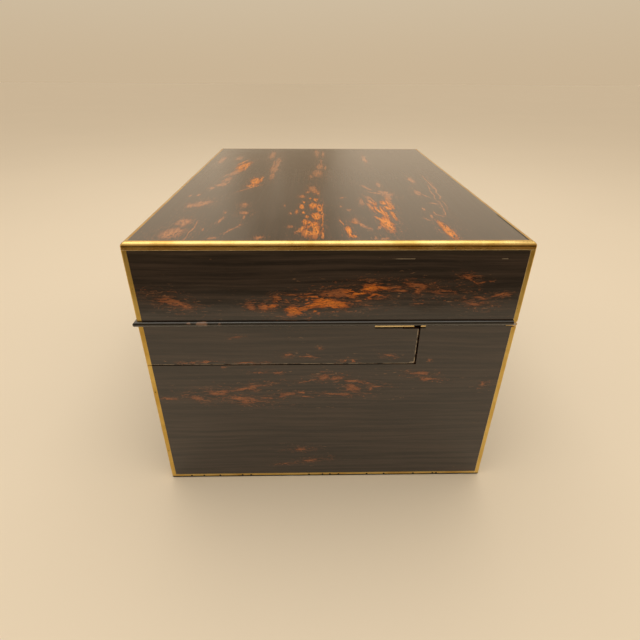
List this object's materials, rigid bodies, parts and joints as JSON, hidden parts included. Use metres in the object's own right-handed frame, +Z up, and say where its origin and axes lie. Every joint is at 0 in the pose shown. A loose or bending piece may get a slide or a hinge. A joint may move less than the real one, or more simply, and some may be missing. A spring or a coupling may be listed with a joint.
{
  "type": "jewellery casket",
  "caption": "Brass-edged veneered box with a back-hinged lid, swing-out side trays on centre hinges, fitted wells, a lock and a lower drawer with a ring pull.",
  "frame": {"origin": "centre of the footprint, on the surface that the casket stands on", "axes": "+X along the front to the right-hand end, -Y out of the front, +Z up"},
  "size_m": [0.3504, 0.2522, 0.2],
  "materials": {
    "coromandel_veneer": "french polished, high gloss, near-black brown with orange figure",
    "ebonised_wood": "ebonised and polished",
    "polished_brass": "polished, lightly toned with age",
    "hinge_brass": "satin, toned",
    "steel": "filed bright",
    "mahogany": "satin polish",
    "velvet": "short-pile silk velvet",
    "baize": "napped wool",
    "mirror_frame_leather": "fine-grained, blind tooled line",
    "lining_board": "velvet over board",
    "mirror_glass": "silvered, bevelled edge"
  },
  "bodies": {
    "base": {"base_baize": "baize", "base_bottom_panel": "mahogany", "base_foot_edging": "polished_brass", "base_front_wall": "coromandel_veneer", "base_back_wall": "coromandel_veneer", "base_right_wall": "coromandel_veneer", "base_left_wall": "coromandel_veneer", "base_corner_edging": "polished_brass", "drawer_guides": "mahogany", "dust_board": "mahogany", "rear_partitions": "mahogany", "centre_partitions": "mahogany", "compartment_linings": "velvet", "base_hinge_leaf": "hinge_brass", "base_hinge_screws": "hinge_brass", "lid_hinge_pin": "steel", "wing_pivot_plates": "hinge_brass", "lock_case": "hinge_brass", "lock_escutcheon": "polished_brass", "centre_ring_tray": "mahogany", "centre_ring_rolls": "velvet"},
    "lid": {"lid_front_wall": "coromandel_veneer", "lid_back_wall": "coromandel_veneer", "lid_left_wall": "coromandel_veneer", "lid_right_wall": "coromandel_veneer", "lid_top_panel": "coromandel_veneer", "lid_top_edging": "polished_brass", "lid_corner_edging": "polished_brass", "lid_bead_moulding": "ebonised_wood", "lid_hinge_leaf": "hinge_brass", "lid_hinge_screws": "hinge_brass", "lid_lining_pad": "lining_board", "lid_mirror_frame": "mirror_frame_leather", "lid_mirror_glass": "mirror_glass", "lock_link_plate": "hinge_brass"},
    "drawer": {"drawer_front": "coromandel_veneer", "drawer_box": "mahogany", "drawer_bottom": "mahogany", "drawer_lining": "velvet", "drawer_pull_plate": "polished_brass"},
    "drawer_pull": {"drawer_pull_ring": "polished_brass"},
    "lock_barrel": {"lock_barrel": "hinge_brass"},
    "right_lock_bolt": {"right_lock_bolt": "steel"},
    "left_lock_bolt": {"left_lock_bolt": "steel"},
    "right_wing": {"right_wing_front": "coromandel_veneer", "right_wing_side": "coromandel_veneer", "right_wing_inner_walls": "mahogany", "right_wing_floor": "mahogany", "right_wing_corner_edging": "polished_brass", "right_wing_pivot_leaves": "hinge_brass", "right_wing_lining": "velvet", "right_wing_ring_rolls": "velvet"},
    "left_wing": {"left_wing_front": "coromandel_veneer", "left_wing_side": "coromandel_veneer", "left_wing_inner_walls": "mahogany", "left_wing_floor": "mahogany", "left_wing_corner_edging": "polished_brass", "left_wing_pivot_leaves": "hinge_brass", "left_wing_lining": "velvet", "left_wing_ring_rolls": "velvet"}
  },
  "joints": [
    {"name": "lid_hinge", "type": "hinge", "parent": "base", "child": "lid", "pos_m": [0, 0.1245, 0.1428], "axis": [-1, 0, 0], "range_deg": [0, 95]},
    {"name": "right_wing_swing", "type": "hinge", "parent": "base", "child": "right_wing", "pos_m": [0.1696, 0.0536, 0.1111], "axis": [0, 0, 1], "range_deg": [0, 100]},
    {"name": "left_wing_swing", "type": "hinge", "parent": "base", "child": "left_wing", "pos_m": [-0.1696, 0.0536, 0.1111], "axis": [0, 0, -1], "range_deg": [0, 100]},
    {"name": "drawer_slide", "type": "slide", "parent": "base", "child": "drawer", "axis": [0, -1, 0], "range_m": [0, 0.15]},
    {"name": "drawer_pull_swing", "type": "hinge", "parent": "drawer", "child": "drawer_pull", "pos_m": [0, -0.1218, 0.038], "axis": [-1, 0, 0], "range_deg": [0, 85]},
    {"name": "lock_turn", "type": "hinge", "parent": "base", "child": "lock_barrel", "pos_m": [0, -0.1239, 0.1276], "axis": [0, 1, 0], "range_deg": [0, 90]},
    {"name": "right_bolt_slide", "type": "slide", "parent": "base", "child": "right_lock_bolt", "axis": [1, 0, 0], "range_m": [0, 0.005]},
    {"name": "left_bolt_slide", "type": "slide", "parent": "base", "child": "left_lock_bolt", "axis": [-1, 0, 0], "range_m": [0, 0.005]}
  ],
  "couplings": [
    {"joint": "lock_turn", "follows": "right_bolt_slide", "rad_per_m": 314},
    {"joint": "left_bolt_slide", "follows": "right_bolt_slide", "ratio": 1}
  ]
}
